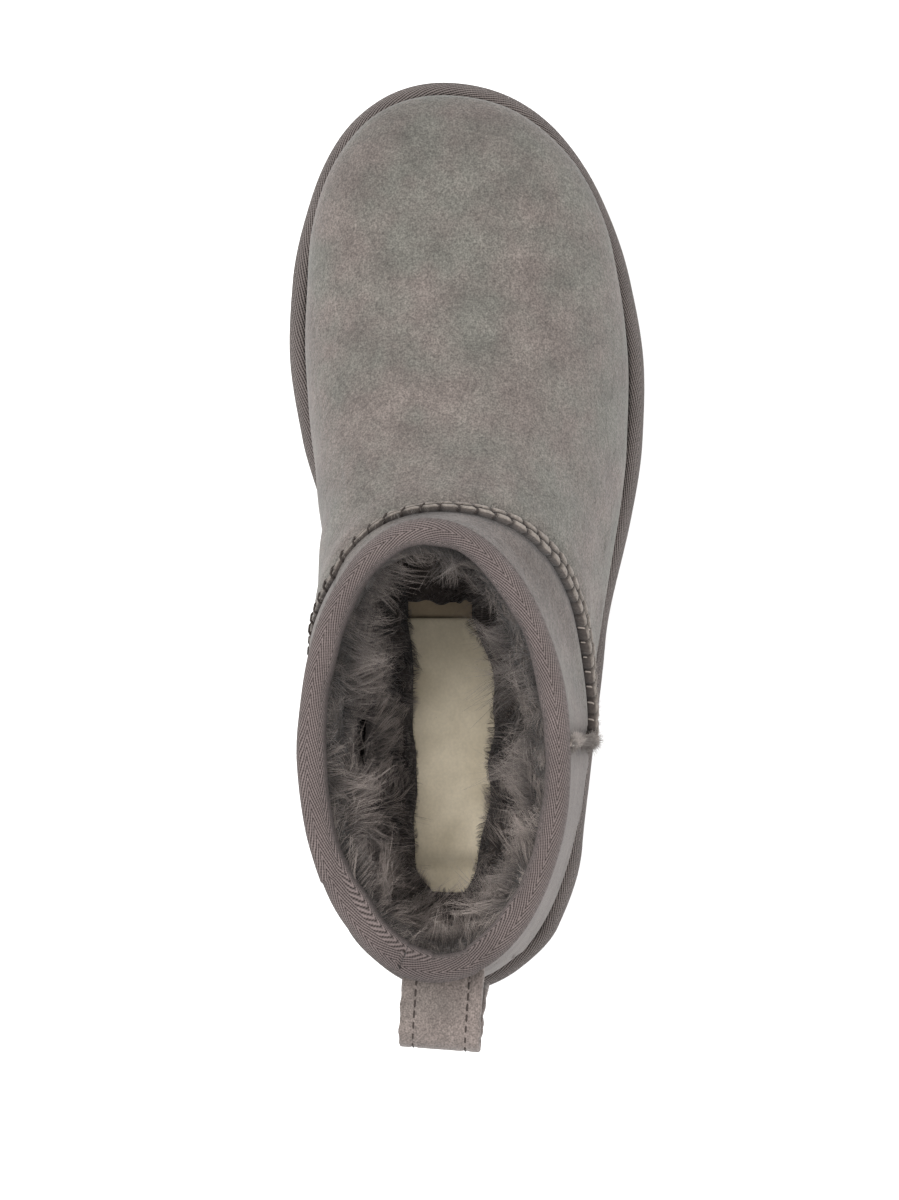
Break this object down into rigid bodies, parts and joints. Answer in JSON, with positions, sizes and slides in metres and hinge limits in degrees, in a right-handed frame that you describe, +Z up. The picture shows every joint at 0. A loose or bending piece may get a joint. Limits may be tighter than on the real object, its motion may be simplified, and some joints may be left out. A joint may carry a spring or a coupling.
{
  "type": "ankle-height sheepskin boot",
  "caption": "Ankle-height pull-on sheepskin boot for the right foot: suede upper with a wool lining, woven tape on collar and sole edge, heel pull loop, thick foam sole.",
  "frame": {"origin": "under the middle of the boot's box in plan, at the height of the ground it stands on", "axes": "+X from heel to toe, +Y towards the inner (big toe) side of the right foot, +Z up"},
  "size_m": [0.2732, 0.1028, 0.1224],
  "materials": {
    "sole_foam": "matte moulded foam rubber, dark grey",
    "woven_tape": "matte herringbone woven tape, dark warm grey",
    "suede": "brushed suede with a short nap, mid grey; the wool side faces in",
    "insole_cover": "smooth matte footbed cover, cream"
  },
  "bodies": {
    "root": {"outsole": "sole_foam", "sole_binding": "woven_tape", "upper": "suede", "collar_tape": "woven_tape", "insole": "insole_cover", "pull_loop": "suede"}
  },
  "joints": []
}
